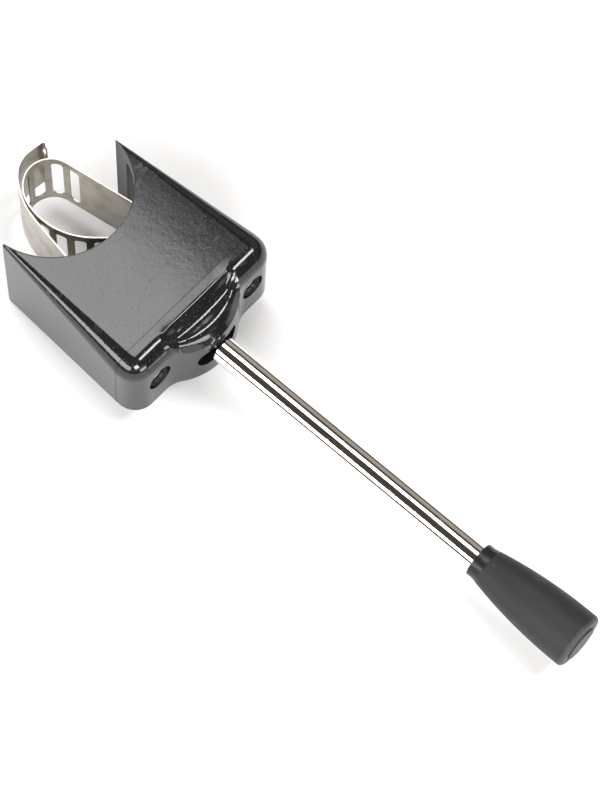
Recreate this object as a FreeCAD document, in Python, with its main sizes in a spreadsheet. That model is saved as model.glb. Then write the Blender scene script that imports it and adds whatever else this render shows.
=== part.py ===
import FreeCAD, Part
import Sketcher
import math
import os
import re
import sys

# A clamp-on turn signal switch for a round steering column: a die-cast sleeve with a saddle
# that sits against the column, two steel straps that go round it, an end cover with the
# clamp screws, and a lever that swings left and right to slide a bridge contact.
# +X runs along the lever to its knob, +Z is the column's axis and points out of the front
# face, and the origin is where the column's axis crosses the lever's.

Vector = FreeCAD.Vector

SIZES = [
    # the sleeve
    ("column_radius", 27.4, "radius of the saddle that sits on the column"),
    ("horn_x", 3.2, "tips of the saddle's two horns"),
    ("seam_x", 61.0, "joint between the sleeve and the end cover"),
    ("horn_half", 27.8, "half the sleeve's width at the horns"),
    ("seam_half", 34.8, "half the sleeve's width at the seam"),
    ("front_z", 18.2, "flat front face, above the lever's axis"),
    ("horn_back_z", -23.2, "back face at the horns"),
    ("seam_back_z", -12.6, "back face at the seam"),
    ("horn_front_round", 1.5, "front edge rounding at the horns"),
    ("horn_back_round", 1.2, "back edge rounding at the horns"),
    ("seam_front_round", 7.5, "front edge rounding at the seam"),
    ("seam_back_round", 1.8, "back edge rounding at the seam"),
    ("wall", 2.8, "wall of the two castings"),
    ("front_lip", 5.0, "thicker front wall beside the saddle"),
    ("back_lip", 3.4, "thicker back wall beside the saddle"),
    ("lip_width", 4.0, "how far the two lips reach in from the saddle"),
    ("inner_round", 2.0, "rounding of the cavities' long corners"),
    # the end cover
    ("seam_gap", 0.15, "gap at the seam"),
    ("shoulder_x", 70.3, "end face beside the nose"),
    ("nose_x", 76.8, "end face on the nose"),
    ("nose_radius", 23.5, "plan radius of the nose"),
    ("hollow_radius", 10.0, "plan radius between the nose and a shoulder"),
    ("corner_radius", 7.7, "plan radius of the cover's two outer corners"),
    ("hood_start", 65.2, "where the front face starts to fall to the nose"),
    ("hood_drop", 9.3, "how far the nose's top edge lies below the front face"),
    ("hood_flat", 11.0, "half width over which the nose's top edge is level"),
    ("hood_half", 22.5, "half width at which the hood has run out"),
    ("hood_swell", 0.80, "how strongly the hood swells, 0 to 1"),
    ("hood_softness", 0.006, "how softly the hood leaves the front face"),
    ("nose_ceiling", 6.4, "ceiling of the cavity inside the nose"),
    # the lever
    ("pivot_x", 50.5, "axis that the lever swings about"),
    ("swing", 12.0, "lever swing to each side, in degrees"),
    ("rod_radius", 4.75, "lever rod"),
    ("neck_radius", 3.2, "neck of the rod, inside the nose and the hub"),
    ("shoulder_gap", 0.6, "from the nose to the shoulder where the neck ends"),
    ("shoulder_chamfer", 0.4, "chamfer of that shoulder"),
    ("spigot_radius", 4.0, "end of the rod inside the knob"),
    ("rod_start", 55.5, "inner end of the rod, in the hub"),
    ("knob_x", 190.3, "where the knob's collar starts"),
    ("knob_length", 43.7, "knob with its end cap"),
    ("knob_collar_radius", 6.15, "knob's collar"),
    ("knob_collar_length", 2.2, "straight part of the collar"),
    ("knob_radius", 10.05, "widest part of the knob"),
    ("knob_end_round", 1.6, "rounding at the knob's end"),
    ("cap_radius", 6.2, "disc let into the knob's end"),
    ("cap_thickness", 1.6, "thickness of that disc"),
    ("insert_radius", 5.4, "brass bush moulded into the knob"),
    ("insert_inset", 4.0, "from the collar's face to that bush"),
    ("insert_length", 24.0, "length of that bush"),
    ("rod_in_knob", 28.0, "how far the rod goes into the knob"),
    ("slot_clearance", 0.5, "clearance round the neck in the cover's slot"),
    ("slot_drop", 1.0, "extra depth of that slot below the neck"),
    ("hub_radius", 8.0, "hub round the pivot"),
    ("hub_height", 11.0, "hub, along the pivot"),
    ("socket_radius", 5.6, "socket that holds the rod"),
    ("socket_length", 15.5, "socket, from the pivot's axis"),
    ("tail_radius", 12.0, "end of the hub's tail, from the pivot's axis"),
    ("tail_width", 11.0, "width of the tail"),
    ("cross_pin_radius", 1.25, "pin through the socket and the rod"),
    ("cross_pin_x", 61.0, "where that pin crosses the rod"),
    ("pivot_pin_radius", 2.5, "pivot pin"),
    ("pin_head_radius", 3.6, "head of the pivot pin"),
    ("pin_head_height", 1.0, "head of the pivot pin"),
    ("pin_end", 1.6, "pivot pin below the frame's lower arm"),
    ("running_gap", 0.05, "radial gap of every running fit"),
    ("seat_gap", 0.03, "radial gap of every fixed round fit"),
    # the switch frame
    ("plate", 1.2, "sheet of the switch frame"),
    ("arm_gap", 14.0, "space between the frame's two arms"),
    ("arm_half", 9.0, "half width of the arms"),
    ("arm_start", 37.0, "inner end of the arms"),
    ("web_window", 10.4, "half width of the window that the hub's socket swings in"),
    ("tab_start", 5.6, "inner edge of the tab that carries the detent leaf"),
    ("tab_top", -0.8, "upper edge of that tab"),
    ("ear_half", 19.0, "half width across the frame's two ears"),
    ("ear_screw_y", 15.5, "screws that hold the frame in the cover"),
    ("frame_screw_radius", 1.5, "those screws"),
    ("frame_screw_length", 6.0, "those screws, under the head"),
    ("frame_screw_head", 1.8, "height of their heads"),
    # the detent
    ("leaf_x", 37.1, "flat of the detent leaf"),
    ("leaf_thickness", 0.4, "sheet of the detent leaf"),
    ("notch_radius", 1.0, "the hub's three detent notches"),
    ("leaf_clearance", 0.35, "gap between the leaf's bump and its notch"),
    ("leaf_low", -4.8, "lower edge of the detent leaf"),
    ("leaf_height", 3.6, "width of the detent leaf, along the pivot"),
    ("leaf_slope_half", 1.9, "half the length of the leaf's bump"),
    ("rivet_y", 7.3, "rivet that holds the leaf"),
    ("rivet_z", -3.0, "rivet that holds the leaf"),
    ("rivet_radius", 0.8, "that rivet"),
    ("rivet_head", 1.4, "heads of that rivet"),
    ("rivet_head_height", 0.5, "heads of that rivet"),
    ("leaf_beyond_rivet", 1.3, "leaf past its rivet"),
    ("leaf_foot", 4.6, "free end of the leaf, from the middle"),
    ("leaf_crown_half", 0.35, "half the flat on the leaf's bump"),
    # the contacts
    ("post_x", 41.0, "post that the hub's fork pushes"),
    ("post_radius", 1.5, "that post"),
    ("post_clearance", 0.1, "gap on each side of the post in the fork"),
    ("post_end", 0.8, "lower end of that post"),
    ("keel_half", 2.0, "half the length of the slider's keel in the frame's guide"),
    ("keel_gap", 0.3, "end clearance of the keel"),
    ("slider_length", 6.3, "contact slider along X"),
    ("slider_width", 10.0, "contact slider along Y"),
    ("slider_height", 1.8, "contact slider's block"),
    ("bridge_width", 6.8, "bridge contact along Y"),
    ("bridge_thickness", 0.5, "sheet of the bridge contact"),
    ("contact_gap", 0.1, "gap between the bridge and the fixed contacts"),
    ("bridge_shift", 0.3, "middle of the bridge and its spring, outward of the post"),
    ("spring_radius", 1.45, "contact spring, to the middle of its wire"),
    ("spring_wire", 0.17, "radius of the spring's wire"),
    ("spring_pitch", 0.62, "pitch of the spring"),
    ("spring_seat", 1.3, "depth of the seat that holds the spring"),
    ("board_start", 36.0, "terminal board's inner edge"),
    ("board_end", 54.0, "terminal board's outer edge"),
    ("board_half", 12.0, "half the terminal board's width"),
    ("board_clearance", 3.2, "from the front wall to the terminal board's lower face"),
    ("board_thickness", 1.6, "terminal board"),
    ("contact_pitch", 5.9, "fixed contacts, centre to centre"),
    ("contact_radius", 1.8, "heads of the fixed contacts"),
    ("contact_height", 0.9, "heads of the fixed contacts"),
    ("stem_radius", 0.9, "riveted stems of the fixed contacts"),
    ("tag_thickness", 0.5, "sheet of the solder tags"),
    ("tag_start", 32.8, "free ends of the solder tags"),
    ("tag_width", 3.0, "solder tags"),
    ("spacer_x", 49.0, "spacers under the terminal board"),
    ("spacer_y", 6.7, "spacers, from the middle"),
    ("spacer_radius", 2.1, "spacers"),
    ("board_screw_radius", 1.0, "screws through the spacers"),
    ("board_screw_head", 1.1, "height of their heads"),
    # the clamp
    ("clamp_y", 23.0, "clamp screws, from the middle"),
    ("clamp_z", 2.8, "clamp screws, above the lever's axis"),
    ("clamp_screw_radius", 2.1, "clamp screws"),
    ("clamp_screw_length", 34.0, "clamp screws, under the head"),
    ("clamp_head_radius", 4.1, "heads of the clamp screws"),
    ("clamp_head_height", 3.2, "heads of the clamp screws"),
    ("driver_slot", 1.3, "width of the screwdriver slots"),
    ("clamp_seat_x", 64.5, "what the heads bear on"),
    ("recess_radius", 4.9, "recesses over the heads"),
    ("boss_radius", 7.0, "bosses behind the recesses"),
    ("nut_width", 6.4, "square nuts"),
    ("nut_height", 4.0, "square nuts"),
    ("clamp_travel", 6.4, "how far a nut travels: eight turns of 0.8"),
    ("loose_x", 43.3, "ladder strap's flange, with its screw slackened"),
    ("drawn_x", 46.5, "hook strap's flange, with its screw drawn up"),
    ("strap_thickness", 0.5, "spring steel of the straps"),
    ("strap_top", 12.4, "front edge of both straps"),
    ("strap_width", 26.4, "width of both straps"),
    ("tab_width", 12.0, "width of a strap at its nut"),
    ("flange_reach", 3.6, "flange of a strap beyond its screw's axis"),
    ("flange_bend", 0.8, "bend between a strap's leg and its flange"),
    ("taper_start", 28.8, "where a strap's leg starts to narrow to its tab"),
    ("taper_length", 6.5, "length of that taper"),
    ("ladder_flange", 7.0, "flat of the ladder strap's flange"),
    ("ladder_flange_turn", 81.4, "bend of that flange, in degrees"),
    ("ladder_leg", 48.45, "straight leg of the ladder strap"),
    ("ladder_outer_bend", 9.2, "first bend of its loop"),
    ("ladder_outer_turn", 105.7, "turn of that bend, in degrees"),
    ("ladder_top_bend", 13.3, "second bend of its loop"),
    ("ladder_top_turn", 46.1, "turn of that bend, in degrees"),
    ("ladder_return_bend", 25.8, "third bend of its loop"),
    ("ladder_return_turn", 62.0, "turn of that bend, in degrees"),
    ("ladder_tail", 10.0, "straight free end of the ladder strap"),
    ("hook_flange", 6.8, "flat of the hook strap's flange"),
    ("hook_flange_turn", 80.3, "bend of that flange, in degrees"),
    ("hook_leg", 43.7, "straight leg of the hook strap"),
    ("hook_side_bend", 31.9, "bend that follows the column's side"),
    ("hook_side_turn", 34.6, "turn of that bend, in degrees"),
    ("hook_end_bend", 11.4, "tighter bend after it"),
    ("hook_end_turn", 52.0, "turn of that bend, in degrees"),
    ("hook_tongue", 5.2, "straight run before the hook"),
    ("hook_radius", 1.0, "bend of the hook itself"),
    ("hook_turn", 128.0, "turn of that bend, in degrees"),
    ("hook_lip", 1.6, "free end of the hook"),
    ("relief_width", 1.4, "relief slit in the hook's bend"),
    ("relief_height", 3.4, "relief slit in the hook's bend"),
    ("relief_drop", 6.0, "middle of that slit, below the strap's front edge"),
    ("window_width", 4.1, "windows of the ladder strap, along it"),
    ("window_height", 20.2, "windows of the ladder strap, across it"),
    ("window_pitch", 6.78, "windows, centre to centre"),
    ("window_round", 1.3, "rounding of the windows' corners"),
    ("window_start", 53.4, "middle of the first window, along the strap"),
    # the wire outlet
    ("outlet_x", 46.0, "wire outlet in the back wall"),
    ("outlet_y", 12.0, "wire outlet in the back wall"),
    ("outlet_radius", 4.5, "hole in the back wall"),
    ("grommet_bore", 3.0, "bore of the grommet"),
    ("grommet_flange", 6.0, "flanges of the grommet"),
    ("grommet_lip", 1.2, "thickness of those flanges"),
]

doc = FreeCAD.newDocument("turn_signal_switch")
sheet = doc.addObject("Spreadsheet::Sheet", "Sizes")
for line, (alias, amount, note) in enumerate(SIZES, start=1):
    sheet.set(f"A{line}", note)
    sheet.set(f"B{line}", str(amount))
    sheet.setAlias(f"B{line}", alias)
doc.recompute()

ALIASES = {alias for alias, amount, note in SIZES}
FINISHED = []


def cells(text):
    """An expression in which every size is named as a cell of the sheet."""
    def cell(word):
        return "Sizes." + word[0] if word[0] in ALIASES else word[0]

    return re.sub(r"[a-z_]+", cell, str(text))


def value(text):
    """What an expression on the sheet's sizes comes to."""
    result = sheet.evalExpression(cells(text))
    return float(getattr(result, "Value", result))


def bind(item, **settings):
    """Bind properties to the sheet; x, y and z are the item's position."""
    for name, text in settings.items():
        path = ".Placement.Base." + name if name in ("x", "y", "z") else name
        item.setExpression(path, cells(text))
    return item


def finish(item, name):
    """Give a finished sub-part its own name, which also names its file."""
    item.Label = name
    FINISHED.append(item)
    return item


# ---- plain solids, bound to the sheet ----

def block(x, y, z):
    """A box between three pairs of expressions, (low, high) along each axis."""
    item = doc.addObject("Part::Box", "block")
    bind(item, x=x[0], y=y[0], z=z[0])
    bind(item, Length=f"({x[1]}) - ({x[0]})", Width=f"({y[1]}) - ({y[0]})", Height=f"({z[1]}) - ({z[0]})")
    return item


def drum(radius, start, length, axis="z", tilt=0.0):
    """A cylinder that starts at a point and runs along +Z or +X."""
    item = doc.addObject("Part::Cylinder", "drum")
    turn = 90.0 if axis == "x" else tilt
    item.Placement = FreeCAD.Placement(Vector(), FreeCAD.Rotation(Vector(0, 1, 0), turn))
    return bind(item, x=start[0], y=start[1], z=start[2], Radius=radius, Height=length)


def fuse(*items):
    whole = doc.addObject("Part::MultiFuse", "fused")
    whole.Shapes = list(items)
    return whole


def cut(base, *tools):
    item = doc.addObject("Part::Cut", "cut")
    item.Base = base
    item.Tool = tools[0] if len(tools) == 1 else fuse(*tools)
    return item


def common(*items):
    item = doc.addObject("Part::MultiCommon", "common")
    item.Shapes = list(items)
    return item


def group(*items):
    """Like pieces that share one sub-part, as separate solids."""
    item = doc.addObject("Part::Compound", "group")
    item.Links = list(items)
    return item


def fixed(name, make, **place):
    """A shape made in code from the sheet's values, for what no primitive or sketch fits."""
    item = doc.addObject("Part::Feature", name)
    item.Shape = make()
    item.Placement = FreeCAD.Placement()
    return bind(item, **place)


# ---- sketches and body features ----

def new_body(name):
    return doc.addObject("PartDesign::Body", name)


def sketch_on(body, plane, offset="0"):
    """An empty sketch on one of the body's own planes, moved along the plane's normal."""
    item = body.newObject("Sketcher::SketchObject", "sketch")
    origin_plane = [part for part in body.Origin.OriginFeatures if part.Role == plane]
    item.AttachmentSupport = [(origin_plane[0], "")]
    item.MapMode = "FlatFace"
    item.setExpression("AttachmentOffset.Base.z", cells(offset))
    return item


def hold(sketch, kind, *where, text):
    """A sketch dimension that takes its value from an expression."""
    index = sketch.addConstraint(Sketcher.Constraint(kind, *where, value(text)))
    sketch.setExpression(f"Constraints[{index}]", cells(text))


def polygon(sketch, corners):
    """A closed outline of straight edges through corners given as expressions."""
    points = [Vector(value(x), value(y), 0) for x, y in corners]
    for number, point in enumerate(points):
        sketch.addGeometry(Part.LineSegment(point, points[(number + 1) % len(points)]))
    for number, (x, y) in enumerate(corners):
        sketch.addConstraint(Sketcher.Constraint("Coincident", number - 1 if number else len(points) - 1, 2, number, 1))
        hold(sketch, "DistanceX", -1, 1, number, 1, text=x)
        hold(sketch, "DistanceY", -1, 1, number, 1, text=y)


def disc(sketch, x, y, radius):
    """A circle about a point."""
    index = sketch.addGeometry(Part.Circle(Vector(value(x), value(y), 0), Vector(0, 0, 1), value(radius)))
    hold(sketch, "DistanceX", -1, 1, index, 3, text=x)
    hold(sketch, "DistanceY", -1, 1, index, 3, text=y)
    hold(sketch, "Radius", index, text=radius)


def rounded_section(sketch, half, low, high, low_round, high_round):
    """A rectangle about the sketch's vertical axis, with its own rounding below and above."""
    w, a, b, r, s = (value(text) for text in (half, low, high, low_round, high_round))
    quarter = math.pi / 2
    lines = [((-w + r, a), (w - r, a)), ((w, a + r), (w, b - s)), ((w - s, b), (-w + s, b)), ((-w, b - s), (-w, a + r))]
    arcs = [((w - r, a + r), r), ((w - s, b - s), s), ((-w + s, b - s), s), ((-w + r, a + r), r)]
    for side, ((x0, y0), (x1, y1)) in enumerate(lines):
        sketch.addGeometry(Part.LineSegment(Vector(x0, y0, 0), Vector(x1, y1, 0)))
        (x, y), radius = arcs[side]
        circle = Part.Circle(Vector(x, y, 0), Vector(0, 0, 1), radius)
        sketch.addGeometry(Part.ArcOfCircle(circle, (side - 1) * quarter, side * quarter))
    for side in range(4):
        line, arc, following = 2 * side, 2 * side + 1, (2 * side + 2) % 8
        sketch.addConstraint(Sketcher.Constraint("Tangent", line, 2, arc, 1))
        sketch.addConstraint(Sketcher.Constraint("Tangent", arc, 2, following, 1))
        sketch.addConstraint(Sketcher.Constraint("Vertical" if side % 2 else "Horizontal", line))
    hold(sketch, "DistanceY", -1, 1, 0, 1, text=low)
    hold(sketch, "DistanceX", -1, 1, 2, 1, text=half)
    hold(sketch, "DistanceY", -1, 1, 4, 1, text=high)
    hold(sketch, "DistanceX", -1, 1, 6, 1, text=f"-({half})")
    hold(sketch, "Radius", 1, text=low_round)
    sketch.addConstraint(Sketcher.Constraint("Equal", 1, 7))
    hold(sketch, "Radius", 3, text=high_round)
    sketch.addConstraint(Sketcher.Constraint("Equal", 3, 5))


def loft(body, kind, *sections):
    item = body.newObject(kind, "loft")
    item.Profile = sections[0]
    item.Sections = list(sections[1:])
    doc.recompute()
    return item


def pad(body, sketch, length, kind="PartDesign::Pad", backwards=False):
    """A pad or pocket of a stated length along the sketch's normal."""
    item = body.newObject(kind, "step")
    item.Profile = sketch
    item.Reversed = backwards
    item.setExpression("Length", cells(length))
    doc.recompute()
    return item


def pocket(body, sketch, length, backwards=False):
    """A pocket, checked to have cut something."""
    before = body.Shape.Volume
    item = pad(body, sketch, length, "PartDesign::Pocket", backwards)
    if body.Shape.Volume > before - 0.01:
        sys.exit(f"a pocket in {body.Name} cuts nothing")
    return item


def turned(body, profile, plane="XY_Plane"):
    """A solid turned about the X axis from an outline of (x, radius) corners."""
    sketch = sketch_on(body, plane)
    polygon(sketch, profile)
    item = body.newObject("PartDesign::Revolution", "turning")
    item.Profile = sketch
    item.ReferenceAxis = (sketch, ["H_Axis"])
    item.Angle = 360
    doc.recompute()
    return item


def edges_where(shape, test):
    """Names of the edges whose bounding box passes a test."""
    return [f"Edge{number}" for number, edge in enumerate(shape.Edges, start=1) if test(edge.BoundBox)]


def round_edges(body, feature, radius, test):
    item = body.newObject("PartDesign::Fillet", "rounding")
    item.Base = (feature, edges_where(feature.Shape, test))
    item.setExpression("Radius", cells(radius))
    doc.recompute()
    return item


# ---- the sleeve ----

SLOPE = "(seam_back_z - horn_back_z) / (seam_x - horn_x)"
FLARE = "(seam_half - horn_half) / (seam_x - horn_x)"
LIP_END = "(column_radius + lip_width)"


def half_at(x):
    return f"(horn_half + {FLARE} * ({x} - horn_x))"


def back_at(x):
    return f"(horn_back_z + {SLOPE} * ({x} - horn_x))"


def make_housing():
    """Wedge-shaped sleeve: a loft, hollow from end to end, with the saddle cut through it."""
    body = new_body("sleeve")
    horn, seam = (sketch_on(body, "YZ_Plane", x) for x in ("horn_x", "seam_x"))
    rounded_section(horn, "horn_half", "horn_back_z", "front_z", "horn_back_round", "horn_front_round")
    rounded_section(seam, "seam_half", "seam_back_z", "front_z", "seam_back_round", "seam_front_round")
    loft(body, "PartDesign::AdditiveLoft", horn, seam)
    hollows = [("horn_x", "back_lip", "front_lip"), (LIP_END, "wall", "wall")]
    for start, back_wall, front_wall in hollows:
        sections = []
        for x in (start, "seam_x"):
            section = sketch_on(body, "YZ_Plane", x)
            low = f"{back_at(x)} + {back_wall}"
            half, high = f"{half_at(x)} - wall", f"front_z - {front_wall}"
            rounded_section(section, half, low, high, "inner_round", "inner_round")
            sections.append(section)
        loft(body, "PartDesign::SubtractiveLoft", *sections)
    saddle = sketch_on(body, "XY_Plane", "horn_back_z - 1")
    disc(saddle, "0", "0", "column_radius")
    pocket(body, saddle, "front_z - horn_back_z + 2", backwards=True)
    outside = f"{back_at('outlet_x')} - 3 * cos(atan({SLOPE}))"
    start = (f"outlet_x + 3 * sin(atan({SLOPE}))", "outlet_y", outside)
    outlet = drum("outlet_radius", start, "8", tilt=wall_tilt())
    return finish(cut(body, outlet), "housing")


def wall_tilt():
    """Tilt of the back wall about Y, in degrees."""
    return -math.degrees(math.atan(value(SLOPE)))


# ---- the end cover ----

def cover_outline():
    """Plan of the cover: outer corners, shoulders, hollows and nose, as one closed wire."""
    start = value("seam_x + seam_gap")
    half, shoulder, corner = value("seam_half"), value("shoulder_x"), value("corner_radius")
    nose, hollow = value("nose_radius"), value("hollow_radius")
    nose_centre = value("nose_x") - nose
    hollow_x = shoulder + hollow
    hollow_y = math.sqrt((nose + hollow) ** 2 - (hollow_x - nose_centre) ** 2)
    share = nose / (nose + hollow)
    touch = Vector(nose_centre + share * (hollow_x - nose_centre), share * hollow_y, 0)
    lean = 0.5 * math.atan2(touch.y - hollow_y, touch.x - hollow_x) - 0.5 * math.pi
    hollow_mid = Vector(hollow_x + hollow * math.cos(lean), hollow_y + hollow * math.sin(lean), 0)
    slant = math.sqrt(0.5) * corner
    right = [
        Part.LineSegment(Vector(start, half, 0), Vector(shoulder - corner, half, 0)),
        Part.Arc(
            Vector(shoulder - corner, half, 0),
            Vector(shoulder - corner + slant, half - corner + slant, 0),
            Vector(shoulder, half - corner, 0),
        ),
        Part.LineSegment(Vector(shoulder, half - corner, 0), Vector(shoulder, hollow_y, 0)),
        Part.Arc(Vector(shoulder, hollow_y, 0), hollow_mid, touch),
    ]
    edges = [part.toShape() for part in right]
    mirrored = [edge.mirror(Vector(), Vector(0, 1, 0)) for edge in edges]
    nose_arc = Part.Arc(touch, Vector(value("nose_x"), 0, 0), Vector(touch.x, -touch.y, 0)).toShape()
    back = Part.LineSegment(Vector(start, -half, 0), Vector(start, half, 0)).toShape()
    return Part.Wire(Part.__sortEdges__(edges + [nose_arc] + mirrored + [back]))


def end_x_at(y):
    """The cover's end face in plan, beside or on the nose."""
    nose, hollow = value("nose_radius"), value("hollow_radius")
    nose_centre, hollow_x = value("nose_x") - nose, value("shoulder_x") + hollow
    hollow_y = math.sqrt((nose + hollow) ** 2 - (hollow_x - nose_centre) ** 2)
    if abs(y) >= hollow_y:
        return value("shoulder_x")
    if abs(y) <= hollow_y * nose / (nose + hollow):
        return nose_centre + math.sqrt(nose ** 2 - y ** 2)
    return hollow_x - math.sqrt(hollow ** 2 - (hollow_y - abs(y)) ** 2)


def hood_height(x, y):
    """Height of the front surface: level, then falling in a swelling curve to the nose's edge."""
    start, swell = value("hood_start"), value("hood_swell")
    fade = (value("hood_half") - abs(y)) / value("hood_half - hood_flat")
    fade = min(max(fade, 0.0), 1.0)
    fade = fade * fade * (3 - 2 * fade)
    along = (x - start) / (end_x_at(y) - start)
    along = 0.5 * (along + math.sqrt(along * along + value("hood_softness")))
    wave = swell * fade * math.sin(2 * math.pi * min(along, 1.0)) / (2 * math.pi)
    return value("front_z") - value("hood_drop") * fade * (along + wave)


def make_hood_tool():
    """What is taken off the cover above its swelling front surface."""
    low_x, high_x, half = value("seam_x - 4"), value("nose_x + 3"), value("seam_half + 4")
    columns, rows = 27, 49
    grid = []
    for column in range(columns):
        x = low_x + (high_x - low_x) * column / (columns - 1)
        line = []
        for row in range(rows):
            y = half * (2 * row / (rows - 1) - 1)
            line.append(Vector(x, y, hood_height(x, y)))
        grid.append(line)
    surface = Part.BSplineSurface()
    surface.interpolate(grid)
    return surface.toShape().extrude(Vector(0, 0, value("front_z + 30")))


def make_cover():
    """Die-cast end cover: its plan raised to the front face, rounded, hooded and hollowed."""
    low, high = value("seam_back_z"), value("front_z")

    def make_blank():
        blank = Part.Face(cover_outline()).extrude(Vector(0, 0, high - low))
        blank.translate(Vector(0, 0, low))
        start = value("seam_x + seam_gap") + 0.1
        front = [edge for edge in blank.Edges if edge.BoundBox.ZMin > high - 0.1 and edge.BoundBox.XMax > start]
        blank = blank.makeFillet(value("seam_front_round"), front)
        back = [edge for edge in blank.Edges if edge.BoundBox.ZMax < low + 0.1 and edge.BoundBox.XMax > start]
        return blank.makeFillet(value("seam_back_round"), back)

    blank = fixed("cover_blank", make_blank)
    hood = fixed("hood_tool", make_hood_tool)
    hooded = cut(blank, hood)
    start = "(seam_x + seam_gap)"
    across = ("wall - seam_half", "seam_half - wall")
    cavity = block((f"{start} - 1", "shoulder_x - wall"), across, ("seam_back_z + wall", "nose_ceiling"))
    front_cavity = block((f"{start} - 1", "hood_start - wall"), across, ("nose_ceiling", "front_z - wall"))
    nose_cavity = common(
        drum("nose_radius - wall", ("nose_x - nose_radius", "0", "seam_back_z + wall"),
             "nose_ceiling - seam_back_z - wall"),
        block((start, "nose_x"), ("-nose_radius", "nose_radius"), ("seam_back_z + wall", "nose_ceiling")),
    )
    bosses, bores = [], []
    for side in ("-1", "1"):
        y = f"{side} * clamp_y"
        bosses.append(drum("boss_radius", (start, y, "clamp_z"), f"shoulder_x - wall / 2 - {start}", "x"))
        bores.append(drum("clamp_screw_radius + 0.2", (f"{start} - 1", y, "clamp_z"), "nose_x - seam_x", "x"))
        bores.append(drum("recess_radius", ("clamp_seat_x", y, "clamp_z"), "nose_x - clamp_seat_x + 2", "x"))
        y = f"{side} * ear_screw_y"
        bosses.append(drum("frame_screw_radius + 2", (start, y, "0"), f"shoulder_x - wall / 2 - {start}", "x"))
        bores.append(drum("frame_screw_radius + seat_gap", (f"{start} - 1", y, "0"), "frame_screw_length", "x"))
    hollow = cut(hooded, cut(fuse(cavity, front_cavity, nose_cavity), *bosses), *bores)
    reach = "((nose_x - pivot_x) * tan(swing * 1deg) + neck_radius / cos(swing * 1deg) + slot_clearance)"
    tall, middle = "(neck_radius + slot_clearance + slot_drop / 2)", "(-slot_drop / 2)"
    ends = (f"{tall} - {reach}", f"{reach} - {tall}")
    slot = fuse(
        block(("clamp_seat_x", "nose_x + 2"), ends, (f"{middle} - {tall}", f"{middle} + {tall}")),
        *(drum(tall, ("clamp_seat_x", end, middle), "nose_x - clamp_seat_x + 2", "x") for end in ends),
    )
    return finish(cut(hollow, slot), "end_cover")


# ---- the lever ----

def make_rod():
    """Chrome rod: a neck in the hub and the nose, a chamfered shoulder, and a spigot in the knob."""
    body = new_body("rod")
    shoulder, step, end = "(nose_x + shoulder_gap)", "knob_x + 1", "knob_x + rod_in_knob"
    turned(body, [
        ("rod_start", "0"), (end, "0"), (end, "spigot_radius"), (step, "spigot_radius"), (step, "rod_radius"),
        (f"{shoulder} + shoulder_chamfer", "rod_radius"), (shoulder, "rod_radius - shoulder_chamfer"),
        (shoulder, "neck_radius"), ("rod_start", "neck_radius"),
    ])
    cross = drum("cross_pin_radius + seat_gap", ("cross_pin_x", "0", "-10"), "20")
    return finish(cut(body, cross), "lever_rod")


def make_knob():
    """Moulded knob: a straight collar, then one long curve out to the widest part."""

    def shape():
        start, collar = value("knob_x"), value("knob_collar_radius")
        curve_start = value("knob_x + knob_collar_length")
        end = value("knob_x + knob_length - cap_thickness * 0.4")
        widest, rounding = value("knob_radius"), value("knob_end_round")
        curve_end = end - 2.5 * rounding
        rise, run = widest - collar, curve_end - curve_start
        bow = (run ** 2 + rise ** 2) / (2 * rise)
        middle = curve_start + 0.5 * run
        middle_radius = widest - bow + math.sqrt(bow ** 2 - (curve_end - middle) ** 2)
        corner = math.sqrt(0.5) * rounding
        points = [
            Part.LineSegment(Vector(start, 0, 0), Vector(start, collar, 0)),
            Part.LineSegment(Vector(start, collar, 0), Vector(curve_start, collar, 0)),
            Part.Arc(
                Vector(curve_start, collar, 0),
                Vector(middle, middle_radius, 0),
                Vector(curve_end, widest, 0),
            ),
            Part.LineSegment(Vector(curve_end, widest, 0), Vector(end - rounding, widest, 0)),
            Part.Arc(
                Vector(end - rounding, widest, 0),
                Vector(end - rounding + corner, widest - rounding + corner, 0),
                Vector(end, widest - rounding, 0),
            ),
            Part.LineSegment(Vector(end, widest - rounding, 0), Vector(end, 0, 0)),
            Part.LineSegment(Vector(end, 0, 0), Vector(start, 0, 0)),
        ]
        face = Part.Face(Part.Wire([part.toShape() for part in points]))
        return face.revolve(Vector(), Vector(1, 0, 0), 360)

    end = "(knob_x + knob_length)"
    solid = fixed("knob_blank", shape)
    bore = drum("rod_radius + seat_gap", ("knob_x - 1", "0", "0"), "2 + seat_gap", "x")
    insert_start = "knob_x + insert_inset"
    insert_hole = drum("insert_radius + seat_gap", (insert_start, "0", "0"), "insert_length + seat_gap", "x")
    spigot_hole = drum("spigot_radius + seat_gap", ("knob_x", "0", "0"), "rod_in_knob + 1", "x")
    cap_seat = drum("cap_radius + seat_gap", (f"{end} - cap_thickness", "0", "0"), "cap_thickness + 2", "x")
    return finish(cut(solid, bore, insert_hole, spigot_hole, cap_seat), "knob")


def make_lever_fittings():
    """What holds the lever together: the knob's bush and end cap, the hub and its cross pin."""
    inner = drum("spigot_radius + seat_gap", ("knob_x", "0", "0"), "insert_length + 2 * insert_inset", "x")
    outer = drum("insert_radius", ("knob_x + insert_inset", "0", "0"), "insert_length", "x")
    finish(cut(outer, inner), "knob_insert")
    end = "(knob_x + knob_length)"
    finish(drum("cap_radius", (f"{end} - cap_thickness + seat_gap", "0", "0"), "cap_thickness - seat_gap", "x"),
           "knob_end_cap")
    pin = drum("cross_pin_radius", ("cross_pin_x", "0", "-socket_radius"), "2 * socket_radius")
    finish(common(pin, drum("socket_radius", ("rod_start", "0", "0"), "20", "x")), "hub_cross_pin")


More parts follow.
